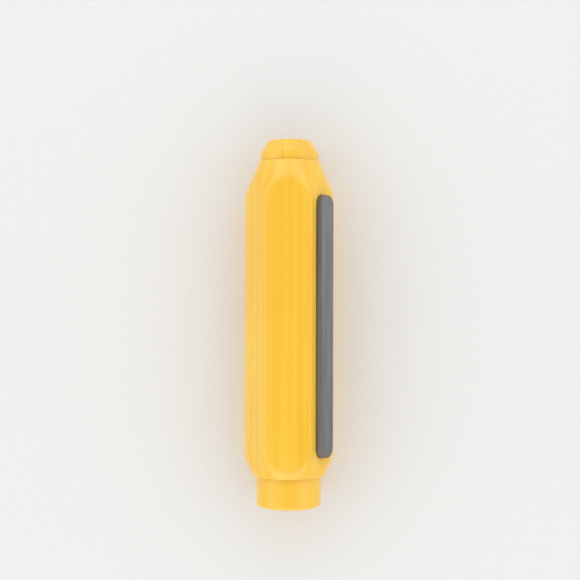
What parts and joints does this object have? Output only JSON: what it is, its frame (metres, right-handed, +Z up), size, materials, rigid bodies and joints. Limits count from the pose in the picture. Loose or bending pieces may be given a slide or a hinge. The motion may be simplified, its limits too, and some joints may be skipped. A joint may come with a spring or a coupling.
{
  "type": "chalk holder",
  "caption": "Hexagonal plastic chalk holder with a sprung push button that opens a collet, and a magnet strip along one facet to park it on a board.",
  "frame": {"origin": "on the surface the holder lies on, below the middle of its length", "axes": "+Y along the holder's axis towards the chalk end, +Z up from the facet it lies on, the magnet's facet facing +X and up"},
  "size_m": [0.028, 0.1174, 0.0245],
  "materials": {
    "barrel_plastic": "glossy moulded",
    "collet_plastic": "satin moulded",
    "button_plastic": "glossy moulded",
    "spring_steel": "drawn wire",
    "magnet_rubber": "matt",
    "tape_film": "matt"
  },
  "bodies": {
    "barrel": {"barrel": "barrel_plastic", "magnet_strip": "magnet_rubber", "adhesive_tape": "tape_film", "return_spring": "spring_steel"},
    "plunger": {"push_button": "button_plastic", "collet_sleeve": "collet_plastic"},
    "jaw_upper_right": {"jaw_upper_right": "collet_plastic"},
    "jaw_lower_right": {"jaw_lower_right": "collet_plastic"},
    "jaw_lower_left": {"jaw_lower_left": "collet_plastic"},
    "jaw_upper_left": {"jaw_upper_left": "collet_plastic"}
  },
  "joints": [
    {"name": "button_press", "type": "slide", "parent": "barrel", "child": "plunger", "axis": [0, 1, 0], "range_m": [0, 0.006], "stiffness_N_per_m": 250, "springref_m": -0.006, "deforming": ["return_spring"]},
    {"name": "jaw_upper_right_flex", "type": "hinge", "parent": "plunger", "child": "jaw_upper_right", "pos_m": [0.00281, 0.0221, 0.01658], "axis": [0.8387, 0, -0.5446], "range_deg": [0, 3]},
    {"name": "jaw_lower_right_flex", "type": "hinge", "parent": "plunger", "child": "jaw_lower_right", "pos_m": [0.00433, 0.0221, 0.00944], "axis": [-0.5446, 0, -0.8387], "range_deg": [0, 3]},
    {"name": "jaw_lower_left_flex", "type": "hinge", "parent": "plunger", "child": "jaw_lower_left", "pos_m": [-0.00281, 0.0221, 0.00792], "axis": [-0.8387, 0, 0.5446], "range_deg": [0, 3]},
    {"name": "jaw_upper_left_flex", "type": "hinge", "parent": "plunger", "child": "jaw_upper_left", "pos_m": [-0.00433, 0.0221, 0.01506], "axis": [0.5446, 0, 0.8387], "range_deg": [0, 3]}
  ],
  "couplings": [
    {"joint": "jaw_upper_right_flex", "follows": "button_press", "rad_per_m": 8.7265},
    {"joint": "jaw_lower_right_flex", "follows": "button_press", "rad_per_m": 8.7265},
    {"joint": "jaw_lower_left_flex", "follows": "button_press", "rad_per_m": 8.7265},
    {"joint": "jaw_upper_left_flex", "follows": "button_press", "rad_per_m": 8.7265}
  ]
}
